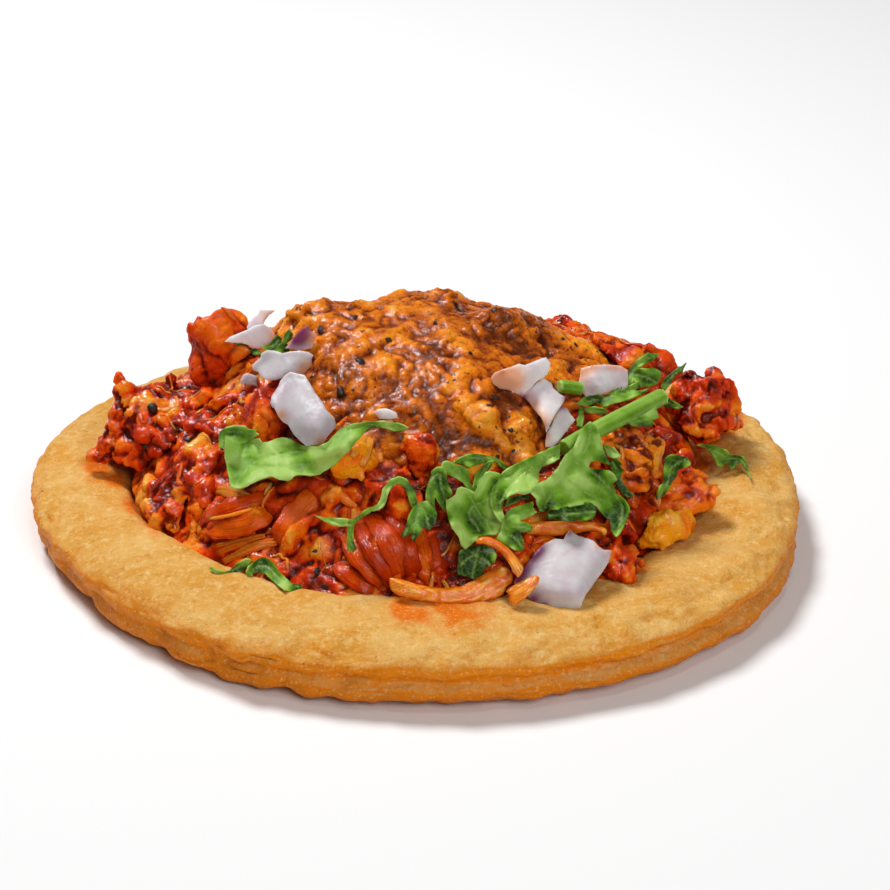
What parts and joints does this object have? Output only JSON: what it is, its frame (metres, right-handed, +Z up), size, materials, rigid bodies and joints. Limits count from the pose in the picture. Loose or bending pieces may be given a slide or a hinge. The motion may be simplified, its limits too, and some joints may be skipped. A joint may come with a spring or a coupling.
{
  "type": "chicharron sope",
  "caption": "Thick round fried maize sope with a pinched rim, heaped with stewed pork rind, chunky salsa, diced red onion and torn cilantro.",
  "frame": {"origin": "middle of the sope's outline on the surface that it rests on", "axes": "+Z up, +Y towards the back as the picture shows it, +X to the right"},
  "size_m": [0.11, 0.1094, 0.0333],
  "materials": {
    "fried_dough": "dry fried maize dough, golden, finely grained",
    "stewed_filling": "wet and oily, red chile stew",
    "red_rind": "wet and glossy, deep red",
    "orange_rind": "wet and glossy, orange",
    "chunky_salsa": "wet, orange-brown, charred specks",
    "red_onion": "moist and translucent, white to lilac",
    "cilantro_leaf": "soft satin leaf, bright to dark green",
    "cilantro_stem": "crisp, light green, ribbed",
    "orange_shred": "moist and fibrous, bright orange"
  },
  "bodies": {
    "root": {"cilantro_back_leaf": "cilantro_leaf", "cilantro_back_sprig": "cilantro_leaf", "cilantro_back_tip": "cilantro_leaf", "cilantro_big_leaf": "cilantro_leaf", "cilantro_bits_left": "cilantro_leaf", "cilantro_curl_top": "cilantro_leaf", "cilantro_curled_leaf": "cilantro_leaf", "cilantro_front_leaf": "cilantro_leaf", "cilantro_lobe_left": "cilantro_leaf", "cilantro_lobe_right": "cilantro_leaf", "cilantro_long_leaf": "cilantro_leaf", "cilantro_long_leaf_fold": "cilantro_leaf", "cilantro_rim_leaf": "cilantro_leaf", "cilantro_round_leaf": "cilantro_leaf", "cilantro_sheath": "cilantro_stem", "cilantro_sprig": "cilantro_leaf", "cilantro_sprig_fork": "cilantro_leaf", "cilantro_stalk": "cilantro_stem", "cilantro_stalk_short": "cilantro_stem", "cilantro_under_stalk": "cilantro_leaf", "filling": "stewed_filling", "onion_back_left": "red_onion", "onion_back_right": "red_onion", "onion_chip_front": "red_onion", "onion_chip_left": "red_onion", "onion_large_front": "red_onion", "onion_lilac_high": "red_onion", "onion_lilac_low": "red_onion", "onion_plate_left": "red_onion", "onion_plate_right": "red_onion", "onion_plate_white": "red_onion", "onion_spear": "red_onion", "onion_tip_purple": "red_onion", "onion_wedge_left": "red_onion", "rind_back": "red_rind", "rind_back_left": "red_rind", "rind_back_middle": "orange_rind", "rind_back_right": "red_rind", "rind_beside_salsa": "orange_rind", "rind_dark_middle": "red_rind", "rind_far_right": "red_rind", "rind_front": "red_rind", "rind_front_right": "red_rind", "rind_left": "red_rind", "rind_lower_left": "red_rind", "rind_orange_front": "orange_rind", "rind_petal_front": "red_rind", "rind_petal_left": "orange_rind", "rind_ridge": "orange_rind", "rind_right": "orange_rind", "rind_under_stem": "red_rind", "rind_upper_left": "orange_rind", "rind_yellow_front": "orange_rind", "rind_yellow_right": "orange_rind", "salsa_cap": "chunky_salsa", "shred_front": "orange_shred", "shred_high": "orange_shred", "shred_middle": "orange_shred", "shred_on_onion": "orange_shred", "sope_base": "fried_dough"}
  },
  "joints": []
}
